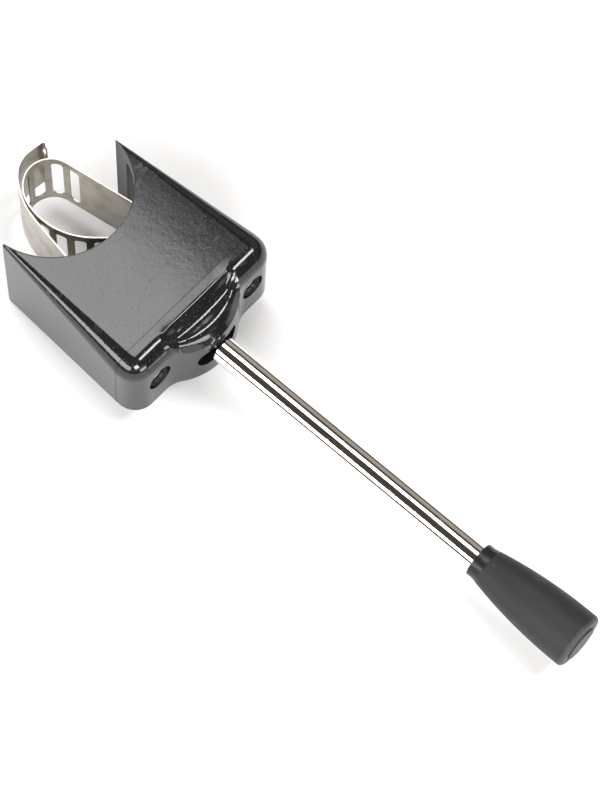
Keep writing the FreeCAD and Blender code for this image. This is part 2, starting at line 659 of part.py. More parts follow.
def make_hub():
    """Hub of the lever: pivot bore, rod socket, and a tail with a fork above and notches below."""
    half = "(hub_height / 2)"
    tail = common(
        block(("pivot_x - tail_radius", "pivot_x"), ("-tail_width / 2", "tail_width / 2"), (f"-{half}", half)),
        drum("tail_radius", ("pivot_x", "0", f"-{half}"), "hub_height"),
    )
    core = drum("hub_radius", ("pivot_x", "0", f"-{half}"), "hub_height")
    socket = drum("socket_radius", ("pivot_x", "0", "0"), "socket_length", "x")
    solid = fuse(tail, core, socket)
    slot = "(post_radius + post_clearance)"
    fork = block(("pivot_x - tail_radius - 1", f"post_x + {slot} + 0.3"), (f"-{slot}", slot),
                 ("0.4", "hub_height"))
    tools = [
        drum("pivot_pin_radius + running_gap", ("pivot_x", "0", "-10"), "20"),
        drum("neck_radius + seat_gap", ("rod_start - 0.2", "0", "0"), "20", "x"),
        drum("cross_pin_radius + seat_gap", ("cross_pin_x", "0", "-10"), "20"),
        fork,
    ]
    for step in (-1, 0, 1):
        x = f"pivot_x - (tail_radius + 0.2) * cos({step} * swing * 1deg)"
        y = f"(tail_radius + 0.2) * sin({step} * swing * 1deg)"
        tools.append(drum("notch_radius", (x, y, "-10"), "10"))
    return finish(cut(solid, *tools), "lever_hub")


# ---- the switch frame and what is fixed to it ----

ARM_TOP = "(arm_gap / 2 + plate)"


def make_switch_frame():
    """Bent sheet: two arms that carry the pivot pin, joined by a web whose ears are screwed on."""
    end = "(seam_x + seam_gap)"
    arms = [
        block(("arm_start", end), ("-arm_half", "arm_half"), ("arm_gap / 2", ARM_TOP)),
        block(("arm_start", end), ("-arm_half", "arm_half"), (f"-{ARM_TOP}", "-arm_gap / 2")),
    ]
    web = block((f"{end} - plate", end), ("-ear_half", "ear_half"), (f"-{ARM_TOP}", ARM_TOP))
    tab = block(("leaf_x - leaf_thickness / 2 - plate", "leaf_x - leaf_thickness / 2"),
                ("tab_start", "arm_half"), (f"-{ARM_TOP}", "tab_top"))
    foot = block(("leaf_x - leaf_thickness / 2 - plate", "arm_start + 1"), ("tab_start", "arm_half"),
                 (f"-{ARM_TOP}", "-arm_gap / 2"))
    window = block((f"{end} - plate - 1", f"{end} + 1"), ("-web_window", "web_window"),
                   ("-arm_gap / 2", "arm_gap / 2"))
    throw = "(keel_half + keel_gap + (pivot_x - post_x) * swing * pi / 180)"
    side_gap = "(post_radius + post_clearance)"
    guide = block((f"post_x - {side_gap}", f"post_x + {side_gap}"), (f"-{throw}", throw), ("0", "20"))
    tools = [window, guide, drum("pivot_pin_radius + seat_gap", ("pivot_x", "0", "-20"), "40")]
    for side in ("-1", "1"):
        hole = "frame_screw_radius + 0.1"
        tools.append(drum(hole, (f"{end} - plate - 1", f"{side} * ear_screw_y", "0"), "plate + 2", "x"))
        hole = "board_screw_radius + seat_gap"
        tools.append(drum(hole, ("spacer_x", f"{side} * spacer_y", "0"), "20"))
    tools.append(drum("rivet_radius + seat_gap", ("leaf_x - 3", "rivet_y", "rivet_z"), "6", "x"))
    return finish(cut(fuse(*arms, web, tab, foot), *tools), "switch_frame")


def make_frame_fixings():
    """Pivot pin and its clip, the two frame screws, and the detent leaf with its rivet."""
    pin = fuse(
        drum("pivot_pin_radius", ("pivot_x", "0", f"-{ARM_TOP} - pin_end"), f"2 * {ARM_TOP} + pin_end"),
        drum("pin_head_radius", ("pivot_x", "0", ARM_TOP), "pin_head_height"),
    )
    clip_z = f"(-{ARM_TOP} - pin_end / 2)"
    groove = cut(drum("pivot_pin_radius + 1", ("pivot_x", "0", clip_z), "0.65"),
                 drum("pivot_pin_radius - 0.5", ("pivot_x", "0", f"{clip_z} - 1"), "3"))
    finish(cut(pin, groove), "pivot_pin")
    clip = cut(
        drum("pin_head_radius + 0.6", ("pivot_x", "0", f"{clip_z} + 0.05"), "0.55"),
        drum("pivot_pin_radius - 0.5 + seat_gap", ("pivot_x", "0", f"{clip_z} - 1"), "3"),
        block(("pivot_x", "pivot_x + 8"), ("-1.7", "1.7"), (f"{clip_z} - 1", f"{clip_z} + 2")),
    )
    finish(clip, "pivot_clip")
    start = "(seam_x + seam_gap)"
    screws = []
    for side in ("-1", "1"):
        y = f"{side} * ear_screw_y"
        shank = drum("frame_screw_radius", (f"{start} - plate", y, "0"), "frame_screw_length - 0.2", "x")
        top = f"({start} - plate - frame_screw_head)"
        head = drum("frame_screw_radius + 1.2", (top, y, "0"), "frame_screw_head", "x")
        slot = block((f"{top} - 1", f"{top} + frame_screw_head / 2"), (f"{y} - 5", f"{y} + 5"),
                     ("-0.4", "0.4"))
        screws.append(cut(fuse(shank, head), slot))
    finish(group(*screws), "frame_screws")


def make_detent():
    """Leaf of spring steel with a bump in the middle notch of the hub's tail, and its rivet."""

    def leaf():
        flat, half = value("leaf_x"), 0.5 * value("leaf_thickness")
        tip = value("pivot_x - tail_radius - 0.2 + notch_radius - leaf_clearance") - half
        upper, lower = value("rivet_y + leaf_beyond_rivet"), -value("leaf_foot")
        slope, crown = value("leaf_slope_half"), value("leaf_crown_half")
        line = [(flat, upper), (flat, slope), (tip, crown), (tip, -crown), (flat, -slope), (flat, lower)]
        path = Part.makePolygon([Vector(x, y, 0) for x, y in line])
        sides = [path.makeOffset2D(distance, 0, False, True, False) for distance in (half, -half)]
        first, second = (sorted(side.Vertexes, key=lambda vertex: vertex.Y) for side in sides)
        caps = [Part.makeLine(first[end].Point, second[end].Point) for end in (0, -1)]
        outline = Part.Wire(Part.__sortEdges__(sides[0].Edges + sides[1].Edges + caps))
        return Part.Face(outline).extrude(Vector(0, 0, value("leaf_height")))

    hole = drum("rivet_radius + seat_gap", ("leaf_x - 3", "rivet_y", "rivet_z"), "6", "x")
    finish(cut(fixed("leaf_blank", leaf, z="leaf_low"), hole), "detent_leaf")
    back, front = "(leaf_x - leaf_thickness / 2 - plate)", "(leaf_x + leaf_thickness / 2)"
    rivet = fuse(
        drum("rivet_radius", (back, "rivet_y", "rivet_z"), f"{front} - {back}", "x"),
        drum("rivet_head", (f"{back} - rivet_head_height", "rivet_y", "rivet_z"), "rivet_head_height", "x"),
        drum("rivet_head", (front, "rivet_y", "rivet_z"), "rivet_head_height", "x"),
    )
    finish(rivet, "detent_rivet")


# ---- the contacts ----

SLIDER_BASE = f"({ARM_TOP} + 0.1)"
SLIDER_TOP = f"({SLIDER_BASE} + slider_height)"
BOARD_Z = "(front_z - wall - board_clearance)"
BRIDGE_TOP = f"({BOARD_Z} - contact_height - contact_gap)"


def make_contacts():
    """The slider that the fork moves, its spring and bridge, and the board with its contacts."""
    half = "(slider_width / 2)"
    start, middle = "(post_x - 2.8)", "(post_x + bridge_shift)"
    seat = drum("spring_radius + 0.45", (middle, "0", f"{SLIDER_TOP} - spring_seat"), "3")
    slider = cut(
        fuse(
            block((start, f"{start} + slider_length"), (f"-{half}", half), (SLIDER_BASE, SLIDER_TOP)),
            block(("post_x - post_radius", "post_x + post_radius"), ("-keel_half", "keel_half"),
                  ("arm_gap / 2 + 0.2", SLIDER_TOP)),
            drum("post_radius", ("post_x", "0", "post_end"), f"{SLIDER_BASE} - post_end"),
        ),
        seat,
    )
    finish(slider, "contact_slider")
    finish(block((f"{middle} - 1.9", f"{middle} + 1.9"), ("-bridge_width / 2", "bridge_width / 2"),
                 (f"{BRIDGE_TOP} - bridge_thickness", BRIDGE_TOP)), "bridge_contact")

    def spring():
        free = value(f"{BRIDGE_TOP} - bridge_thickness - {SLIDER_TOP} + spring_seat")
        radius = value("spring_radius")
        coil = Part.makeHelix(value("spring_pitch"), free - 0.5, radius)
        profile = Part.Wire(Part.makeCircle(value("spring_wire"), Vector(radius, 0, 0), Vector(0, 1, 0)))
        return Part.Wire(coil.Edges).makePipeShell([profile], True, True)

    spring_base = f"{SLIDER_TOP} - spring_seat + 0.25"
    finish(fixed("spring_coil", spring, x=middle, z=spring_base), "contact_spring")
    board = block(("board_start", "board_end"), ("-board_half", "board_half"),
                  (BOARD_Z, f"{BOARD_Z} + board_thickness"))
    holes, spacers, screws, contacts, tags = [], [], [], [], []
    for side in ("-1", "1"):
        y = f"{side} * spacer_y"
        start = ("spacer_x", y, f"{BOARD_Z} - 1")
        holes.append(drum("board_screw_radius + seat_gap", start, "board_thickness + 2"))
        spacers.append(cut(
            drum("spacer_radius", ("spacer_x", y, ARM_TOP), f"{BOARD_Z} - {ARM_TOP}"),
            drum("board_screw_radius + seat_gap", ("spacer_x", y, "0"), "20"),
        ))
        top = f"({BOARD_Z} + board_thickness)"
        screws.append(cut(
            fuse(
                drum("board_screw_radius", ("spacer_x", y, "arm_gap / 2 - 0.3"), f"{top} - arm_gap / 2 + 0.3"),
                drum("spacer_radius", ("spacer_x", y, top), "board_screw_head"),
            ),
            block(("spacer_x - 5", "spacer_x + 5"), (f"{y} - 0.3", f"{y} + 0.3"),
                  (f"{top} + board_screw_head / 2", f"{top} + 2")),
        ))
    top = f"({BOARD_Z} + board_thickness)"
    for step in ("-1", "0", "1"):
        x, y = middle, f"({step} * contact_pitch)"
        holes.append(drum("stem_radius + seat_gap", (x, y, f"{BOARD_Z} - 1"), "board_thickness + 2"))
        contacts.append(fuse(
            drum("contact_radius", (x, y, f"{BOARD_Z} - contact_height"), "contact_height"),
            drum("stem_radius", (x, y, f"{BOARD_Z} - contact_height / 2"),
                 "board_thickness + tag_thickness + contact_height / 2"),
            drum("stem_radius + 0.4", (x, y, f"{top} + tag_thickness"), "0.35"),
        ))
        tag = block(("tag_start", "post_x + 2"), (f"{y} - tag_width / 2", f"{y} + tag_width / 2"),
                    (top, f"{top} + tag_thickness"))
        eye = drum("0.8", ("tag_start + 1.6", y, top), "2")
        tags.append(cut(tag, eye, drum("stem_radius + seat_gap", (x, y, top), "2")))
    finish(cut(board, *holes), "terminal_board")
    finish(group(*spacers), "board_spacers")
    finish(group(*screws), "board_screws")
    finish(group(*contacts), "fixed_contacts")
    finish(group(*tags), "solder_tags")


# ---- the clamp ----

def make_clamp_screw(name, side):
    """Slotted cheese-head screw that turns in the cover and draws a strap's nut along."""
    y = f"{side} * clamp_y"
    start = ("clamp_seat_x - clamp_screw_length", y, "clamp_z")
    shank = drum("clamp_screw_radius", start, "clamp_screw_length", "x")
    head = drum("clamp_head_radius", ("clamp_seat_x", y, "clamp_z"), "clamp_head_height", "x")
    top = "(clamp_seat_x + clamp_head_height)"
    slot = block((f"{top} - clamp_head_height / 2", f"{top} + 1"), (f"{y} - 6", f"{y} + 6"),
                 ("clamp_z - driver_slot / 2", "clamp_z + driver_slot / 2"))
    return finish(cut(fuse(shank, head), slot), name)


def make_nut(name, side, flange_x):
    """Square nut that bears on the back of a strap's flange."""
    y = f"{side} * clamp_y"
    half = "nut_width / 2"
    end = f"({flange_x} - strap_thickness / 2)"
    body = block((f"{end} - nut_height", end), (f"{y} - {half}", f"{y} + {half}"),
                 (f"clamp_z - {half}", f"clamp_z + {half}"))
    start = (f"{end} - nut_height - 1", y, "clamp_z")
    bore = drum("clamp_screw_radius + running_gap", start, "nut_height + 2", "x")
    return finish(cut(body, bore), name)


class Route:
    """A strap's centre line, laid down as straight runs and tangent arcs."""

    def __init__(self, x, y, heading):
        self.place, self.heading, self.edges = Vector(x, y, 0), math.radians(heading), []

    def side(self, angle, turn):
        """Unit vector from a point of an arc to its centre."""
        return Vector(-math.sin(angle), math.cos(angle), 0) * (1 if turn > 0 else -1)

    def run(self, length):
        end = self.place + Vector(math.cos(self.heading), math.sin(self.heading), 0) * length
        self.edges.append(Part.makeLine(self.place, end))
        self.place = end

    def arc(self, radius, turn):
        """Turn by an angle in degrees, to the left where it is positive."""
        angle = math.radians(turn)
        centre = self.place + self.side(self.heading, turn) * radius
        middle = centre - self.side(self.heading + 0.5 * angle, turn) * radius
        end = centre - self.side(self.heading + angle, turn) * radius
        self.edges.append(Part.Arc(self.place, middle, end).toShape())
        self.place, self.heading = end, self.heading + angle

    def length(self):
        return sum(edge.Length for edge in self.edges)

    def at(self, distance):
        """The point and direction at a distance along the route."""
        for edge in self.edges:
            if distance <= edge.Length:
                parameter = edge.getParameterByLength(distance)
                return edge.valueAt(parameter), edge.tangentAt(parameter)
            distance -= edge.Length
        return edge.valueAt(edge.LastParameter), edge.tangentAt(edge.LastParameter)


def band(route, thickness, low, high):
    """A flat strip of sheet that follows a route, between two heights."""
    halves = []
    for edge in route.edges:
        start, end = edge.valueAt(edge.FirstParameter), edge.valueAt(edge.LastParameter)
        sides = []
        for sign in (-0.5, 0.5):
            points = []
            for share in (0.0, 0.5, 1.0):
                parameter = edge.FirstParameter + share * (edge.LastParameter - edge.FirstParameter)
                tangent = edge.tangentAt(parameter)
                points.append(edge.valueAt(parameter) + Vector(-tangent.y, tangent.x, 0) * (sign * thickness))
            if isinstance(edge.Curve, Part.Line):
                sides.append(Part.makeLine(points[0], points[2]))
            else:
                sides.append(Part.Arc(*points).toShape())
        ends = [(side.FirstParameter, side.LastParameter) for side in sides]
        caps = [Part.makeLine(sides[0].valueAt(one), sides[1].valueAt(other)) for one, other in zip(*ends)]
        outline = Part.Wire(Part.__sortEdges__([sides[0], caps[0], sides[1], caps[1]]))
        halves.append(Part.Face(outline).extrude(Vector(0, 0, high - low)))
    strip = halves[0].multiFuse(halves[1:]).removeSplitter()
    strip.translate(Vector(0, 0, low))
    return strip


def taper_tools(sign):
    """The two wedges that narrow a strap's leg to the tab at its nut."""
    x, low, high = value("taper_start"), value("strap_top - strap_width"), value("strap_top")
    tab_low, tab_high = value("clamp_z - tab_width / 2"), value("clamp_z + tab_width / 2")
    tools = []
    for edge_z, tab_z, beyond in ((low, tab_low, -2.0), (high, tab_high, 2.0)):
        narrow, far = x + value("taper_length"), x + 40
        outline = [(x, edge_z + beyond), (x, edge_z), (narrow, tab_z), (far, tab_z), (far, edge_z + beyond)]
        corners = [Vector(px, 0, pz) for px, pz in outline]
        tools.append(Part.Face(Part.makePolygon(corners + corners[:1])).extrude(Vector(0, sign * 40, 0)))
    return tools


def ladder_route():
    """Right strap: flange, leg, then a loop of three bends that comes back across the column."""
    route = Route(value("loose_x"), value("clamp_y + flange_reach"), 270)
    route.run(value("ladder_flange"))
    route.arc(value("flange_bend"), -value("ladder_flange_turn"))
    route.run(value("ladder_leg"))
    for bend in ("ladder_outer", "ladder_top", "ladder_return"):
        route.arc(value(bend + "_bend"), value(bend + "_turn"))
    route.run(value("ladder_tail"))
    return route


def hook_route():
    """Left strap: flange, leg, two bends round the column's side, and the hook."""
    route = Route(value("drawn_x"), value("-clamp_y - flange_reach"), 90)
    route.run(value("hook_flange"))
    route.arc(value("flange_bend"), value("hook_flange_turn"))
    route.run(value("hook_leg"))
    route.arc(value("hook_side_bend"), -value("hook_side_turn"))
    route.arc(value("hook_end_bend"), -value("hook_end_turn"))
    route.run(value("hook_tongue"))
    route.arc(value("hook_radius"), -value("hook_turn"))
    route.run(value("hook_lip"))
    return route


def make_strap(name, route, side, flange_x, tools):
    """A strap cut from spring steel and bent along its route, with a hole for its screw."""

    def shape():
        strip = band(route, value("strap_thickness"), value("strap_top - strap_width"), value("strap_top"))
        return strip.cut(taper_tools(side) + tools)

    hole = drum("clamp_screw_radius + 0.3", (f"{flange_x} - 3", f"{side} * clamp_y", "clamp_z"), "6", "x")
    return finish(cut(fixed(name + "_blank", shape), hole), name)


def window_tool(place, tangent, width, height, middle_z, rounding):
    """A rounded window through a strap, square to it."""
    blank = Part.makeBox(width, 6, height, Vector(-width / 2, -3, -height / 2))
    upright = [edge for edge in blank.Edges if edge.BoundBox.YLength > 5]
    blank = blank.makeFillet(rounding, upright)
    turn = FreeCAD.Rotation(Vector(0, 0, 1), math.degrees(math.atan2(tangent.y, tangent.x)))
    blank.Placement = FreeCAD.Placement(Vector(place.x, place.y, middle_z), turn)
    return blank


def make_clamp():
    middle = value("strap_top - strap_width / 2")
    ladder = ladder_route()
    windows = []
    distance = value("window_start")
    while distance < ladder.length() - value("window_pitch") / 2:
        place, tangent = ladder.at(distance)
        sizes = (value("window_width"), value("window_height"), middle, value("window_round"))
        windows.append(window_tool(place, tangent, *sizes))
        distance += value("window_pitch")
    make_strap("ladder_strap", ladder, 1, "loose_x", windows)
    hook = hook_route()
    half_bend = 0.5 * value("hook_radius") * math.radians(value("hook_turn"))
    place, tangent = hook.at(hook.length() - value("hook_lip") - half_bend)
    relief_z = value("strap_top - relief_drop")
    relief = window_tool(place, tangent, value("relief_width"), value("relief_height"), relief_z, 0.5)
    make_strap("hook_strap", hook, -1, "drawn_x", [relief])
    make_clamp_screw("right_clamp_screw", 1)
    make_clamp_screw("left_clamp_screw", -1)
    make_nut("right_nut", 1, "loose_x")
    make_nut("left_nut", -1, "drawn_x")


# ---- the wire outlet ----

def make_grommet():
    """Rubber grommet in the back wall, square to the wall's slope."""

    def shape():
        lip, wall = value("grommet_lip"), value("wall")
        flange, neck, bore = value("grommet_flange"), value("outlet_radius - seat_gap"), value("grommet_bore")
        corners = [
            (bore, -lip), (flange - 0.6, -lip), (flange, -lip + 0.6), (flange, 0), (neck, 0), (neck, wall),
            (flange - 0.4, wall), (flange - 0.4, wall + lip), (bore, wall + lip),
        ]
        points = [Vector(radius, 0, height) for radius, height in corners]
        solid = Part.Face(Part.makePolygon(points + points[:1])).revolve(Vector(), Vector(0, 0, 1), 360)
        return solid

    item = fixed("grommet_solid", shape)
    turn = FreeCAD.Rotation(Vector(0, 1, 0), wall_tilt())
    place = Vector(value("outlet_x"), value("outlet_y"), value(back_at("outlet_x")))
    item.Placement = FreeCAD.Placement(place, turn)
    return finish(item, "wire_grommet")


def main():
    make_housing()
    make_cover()
    make_rod()
    make_knob()
    make_lever_fittings()
    make_hub()
    make_switch_frame()
    make_frame_fixings()
    make_detent()
    make_contacts()
    make_clamp()
    make_grommet()
    doc.recompute()
    failed = [item.Label for item in doc.Objects if {"Invalid", "Error"} & set(item.State)]
    if failed:
        sys.exit(f"failed objects: {failed}")
    os.makedirs("parts", exist_ok=True)
    for item in FINISHED:
        shape = item.Shape
        if shape.isNull() or not shape.isValid() or not shape.Solids:
            sys.exit(f"{item.Label} has no valid solid")
        shape.exportStep(f"parts/{item.Label}.step")
        print(item.Label, len(shape.Solids), round(shape.Volume, 1))


main()
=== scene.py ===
"""A clamp-on turn signal switch: what each piece is made of, and the studio it is lit in.

Metres, in the part's own frame: +X runs along the lever to the knob, +Y to the right horn and
+Z out of the front face. The pieces' shapes are fixed, and this script gives them their finishes.
"""

import math

import bpy
from mathutils import Matrix, Vector


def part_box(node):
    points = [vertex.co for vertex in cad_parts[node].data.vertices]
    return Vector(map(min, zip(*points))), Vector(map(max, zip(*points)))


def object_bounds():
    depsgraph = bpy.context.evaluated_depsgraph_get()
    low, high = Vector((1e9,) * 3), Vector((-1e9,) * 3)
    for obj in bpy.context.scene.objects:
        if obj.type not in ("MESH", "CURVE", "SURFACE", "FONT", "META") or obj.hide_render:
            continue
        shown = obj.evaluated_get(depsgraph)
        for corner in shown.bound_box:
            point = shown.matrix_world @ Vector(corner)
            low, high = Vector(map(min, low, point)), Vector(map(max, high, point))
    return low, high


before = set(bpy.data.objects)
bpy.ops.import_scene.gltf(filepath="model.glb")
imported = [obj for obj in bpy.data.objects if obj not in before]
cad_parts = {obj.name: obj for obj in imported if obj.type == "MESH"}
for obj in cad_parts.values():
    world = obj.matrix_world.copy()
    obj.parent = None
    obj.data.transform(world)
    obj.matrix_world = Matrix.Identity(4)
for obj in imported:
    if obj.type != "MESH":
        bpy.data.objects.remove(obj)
cad_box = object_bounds()


# ---- Housing and end cover ------------------------------------------------------------------
# Two zinc die castings under one thick coat of black stoving enamel. The enamel pools into a
# faint orange peel, thins on the edges, and stays rough where it was barely sprayed inside the
# saddle. Years of use have left fine scuffs and one curved mark on the front face.

class Wire:
    """A value in a material. Sums on it add Math nodes, so 1 - mask works."""

    def __init__(self, finish, node, out=0):
        self.finish = finish
        self.node = node
        self.socket = node.outputs[out]

    def out(self, name):
        return Wire(self.finish, self.node, name)

    def sum(self, operation, first, second):
        return self.finish.node("ShaderNodeMath", {"operation": operation}, {0: first, 1: second})

    def __add__(self, other):
        return self.sum("ADD", self, other)

    def __radd__(self, other):
        return self.sum("ADD", other, self)

    def __sub__(self, other):
        return self.sum("SUBTRACT", self, other)

    def __rsub__(self, other):
        return self.sum("SUBTRACT", other, self)

    def __mul__(self, other):
        return self.sum("MULTIPLY", self, other)

    def __rmul__(self, other):
        return self.sum("MULTIPLY", other, self)

    def __abs__(self):
        return self.finish.node("ShaderNodeMath", {"operation": "ABSOLUTE"}, {0: self})


class Finish:
    """One material: a Principled shader, and the nodes that vary it over a piece."""

    def __init__(self, name, **constants):
        self.material = bpy.data.materials.new(name)
        self.material.use_nodes = True
        self.tree = self.material.node_tree
        self.shader = self.tree.nodes["Principled BSDF"]
        for socket, value in constants.items():
            self.shader.inputs[socket.replace("_", " ")].default_value = value
        self.place = self.node("ShaderNodeTexCoord").out("Object")

    def node(self, kind, settings=None, sockets=None, out=0):
        made = self.tree.nodes.new(kind)
        for setting, value in (settings or {}).items():
            setattr(made, setting, value)
        for socket, value in (sockets or {}).items():
            self.feed(made.inputs[socket], value)
        return Wire(self, made, out)

    def feed(self, socket, value):
        if isinstance(value, Wire):
            self.tree.links.new(value.socket, socket)
        else:
            socket.default_value = value

    def noise(self, size, detail=2.0, stretch=(1.0, 1.0, 1.0), seed=0.0):
        """Noise whose blobs are about that size, drawn out along the axes by stretch."""
        scaled = self.node("ShaderNodeVectorMath", {"operation": "MULTIPLY"},
                           {0: self.place, 1: [1 / (size * s) for s in stretch]})
        moved = self.node("ShaderNodeVectorMath", {"operation": "ADD"},
                          {0: scaled, 1: (seed, seed, seed)})
        return self.node("ShaderNodeTexNoise", {"noise_dimensions": "3D"},
                         {"Vector": moved, "Scale": 1.0, "Detail": detail}).out("Fac")

    def step(self, value, low, high):
        """0 up to low, 1 from high, and smooth between."""
        return self.node("ShaderNodeMapRange", {"interpolation_type": "SMOOTHSTEP"},
                         {"Value": value, "From Min": low, "From Max": high})

    def blend(self, mask, first, second):
        """The first colour where mask is 0, and the second where it is 1."""
        return self.node("ShaderNodeMix", {"data_type": "RGBA"},
                         {"Factor": mask, 6: first, 7: second}, out=2)

    def away_from(self, x, y):
        """How far a point is from an upright line through (x, y)."""
        level = self.node("ShaderNodeVectorMath", {"operation": "MULTIPLY"},
                          {0: self.place, 1: (1, 1, 0)})
        return self.node("ShaderNodeVectorMath", {"operation": "DISTANCE"},
                         {0: level, 1: (x, y, 0)}).out("Value")

    def varies(self, **inputs):
        for socket, value in inputs.items():
            self.feed(self.shader.inputs[socket.replace("_", " ")], value)

    def bumps(self, height, depth):
        self.varies(Normal=self.node("ShaderNodeBump", {}, {"Height": height, "Distance": depth}))

    def goes_on(self, *names):
        for name in names:
            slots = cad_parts[name].data.materials
            slots.clear()
            slots.append(self.material)


saddle_radius = 0.0274
saddle_edge = 0.0002
mark_centre = (0.075, 0.001)
mark_radius = 0.0267
mark_width = 0.00022
mark_wander = 0.0012
mark_end_x = 0.060
mark_fade = 0.004
face_fade = 0.0003
front_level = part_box("housing")[1].z - 2 * face_fade

enamel = Finish("black_stoving_enamel", IOR=1.52, Specular_IOR_Level=0.5)
axes = enamel.node("ShaderNodeSeparateXYZ", {}, {"Vector": enamel.place})
peel = enamel.noise(size=0.0019, detail=1.0)
ripple = enamel.noise(size=0.0075, detail=0.0, seed=3.0)
scuffs = enamel.step(enamel.noise(size=0.0034, detail=7.0, stretch=(1, 3.5, 1), seed=11.0),
                     0.60, 0.74)
haze = enamel.noise(size=0.016, detail=4.0, seed=5.0)
specks = enamel.step(enamel.noise(size=0.00055, detail=0.0, seed=23.0), 0.73, 0.78)
in_saddle = 1 - enamel.step(enamel.away_from(0, 0), saddle_radius + saddle_edge,
                            saddle_radius + 2 * saddle_edge)
off_mark = abs(enamel.away_from(*mark_centre) - mark_radius + mark_wander * (ripple - 0.5))
mark = (1 - enamel.step(off_mark, 0.0, mark_width)) * enamel.step(peel, 0.42, 0.55) \
    * enamel.step(axes.out("Z"), front_level, front_level + face_fade) \
    * (1 - enamel.step(axes.out("X"), mark_end_x - mark_fade, mark_end_x))
enamel_tone = enamel.blend(scuffs * 0.5 + mark * 0.4 + specks * 0.5,
                           (0.0085, 0.0085, 0.009, 1), (0.05, 0.047, 0.043, 1))
enamel.varies(
    Base_Color=enamel.blend(in_saddle * 0.8, enamel_tone, (0.016, 0.015, 0.014, 1)),
    Roughness=0.075 + haze * 0.06 + scuffs * 0.09 + mark * 0.2 + in_saddle * 0.24)
rough_cast = enamel.noise(size=0.0006, detail=3.0, seed=31.0)
pebble = enamel.noise(size=0.0009, detail=1.0, seed=17.0)
enamel.bumps(peel * 0.15 + pebble * 0.05 + ripple * 0.2 + specks * 0.2
             + in_saddle * rough_cast * 2.5, depth=0.00006)
enamel.goes_on("housing", "end_cover")


# ---- Lever rod ------------------------------------------------------------------------------
# 3/8 inch drawn steel bar, polished lengthways and then chromium plated. The plating is a near
# mirror, with faint draw lines along it and a light bloom from handling.

chrome = Finish("chromium_plate", Metallic=1.0)
draw_lines = chrome.noise(size=0.0005, detail=3.0, stretch=(60, 1, 1))
bloom = chrome.noise(size=0.012, detail=5.0, stretch=(2, 1, 1), seed=7.0)
pits = chrome.step(chrome.noise(size=0.0011, detail=0.0, seed=13.0), 0.76, 0.80)
chrome.varies(
    Base_Color=chrome.blend(pits * 0.6 + chrome.step(bloom, 0.45, 0.75) * 0.25,
                            (0.86, 0.85, 0.83, 1), (0.52, 0.49, 0.45, 1)),
    Roughness=0.012 + draw_lines * 0.02 + chrome.step(bloom, 0.4, 0.8) * 0.04 + pits * 0.2)
chrome.bumps(draw_lines * 0.3 + chrome.noise(size=0.009, detail=1.0, stretch=(3, 1, 1), seed=2.0),
             depth=0.00002)
chrome.goes_on("lever_rod")


# ---- Knob and its end cap -------------------------------------------------------------------
# Compression-moulded black phenolic. The grip is dull and finely grained, its collar stays
# glossy where hands never reach, and its end is painted lighter, a painted highlight.

knob_low, knob_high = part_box("knob")
collar_length = 0.0042
collar_fade = 0.0005
collar_end = knob_low.x + collar_length
# The band from here to the knob's end is painted lighter: a painted highlight where light falls on
# the end.
end_lit_from = knob_high.x - 0.0018
end_lit_to = knob_high.x - 0.0004
grip = Finish("moulded_phenolic", IOR=1.5, Specular_IOR_Level=0.25)
along = grip.node("ShaderNodeSeparateXYZ", {}, {"Vector": grip.place}).out("X")
collar = 1 - grip.step(along, collar_end, collar_end + collar_fade)
lit_end_band = grip.step(along, end_lit_from, end_lit_to)
grain = grip.noise(size=0.00042, detail=3.0)
flow = grip.noise(size=0.006, detail=5.0, stretch=(3, 1, 1), seed=4.0)
scratches = grip.step(grip.noise(size=0.0011, detail=4.0, stretch=(7, 1, 1), seed=9.0), 0.62, 0.72)
grip_tone = grip.blend(flow, (0.011, 0.011, 0.0115, 1), (0.024, 0.023, 0.0225, 1))
# The scratches are real wear; the lighter end band is a painted highlight.
worn_and_lit_tone = grip.blend(scratches * 0.35 + lit_end_band * 0.45, grip_tone, (0.075, 0.072, 0.068, 1))
grip.varies(
    Base_Color=grip.blend(collar * 0.7, worn_and_lit_tone, (0.009, 0.009, 0.009, 1)),
    Roughness=0.36 + grain * 0.22 + flow * 0.08 - collar * 0.24)
grip.bumps(grain * (1 - collar * 0.8) + scratches * 0.3 + flow * 0.8, depth=0.0002)
grip.goes_on("knob", "knob_end_cap")


# ---- Straps ---------------------------------------------------------------------------------
# Cold-rolled strip, pierced and bent, then nickel plated. The rolling left fine lines along the
# strip, and the bends and windows have dulled to a warm grey with a few darker stains.

strap = Finish("nickel_plated_strip", Metallic=1.0)
rolled = strap.noise(size=0.00035, detail=3.0, stretch=(22, 22, 1))
stain = strap.noise(size=0.0062, detail=6.0, seed=6.0)
spots = strap.step(strap.noise(size=0.0014, detail=3.0, seed=15.0), 0.66, 0.74)
strap.varies(
    Base_Color=strap.blend(strap.step(stain, 0.42, 0.72) * 0.55 + spots * 0.35,
                           (0.50, 0.465, 0.41, 1), (0.28, 0.25, 0.21, 1)),
    Roughness=0.20 + rolled * 0.10 + stain * 0.14 + spots * 0.15)
strap.bumps(rolled * 0.5 + strap.noise(size=0.005, detail=2.0, seed=8.0) * 1.6, depth=0.00005)
strap.goes_on("ladder_strap", "hook_strap")
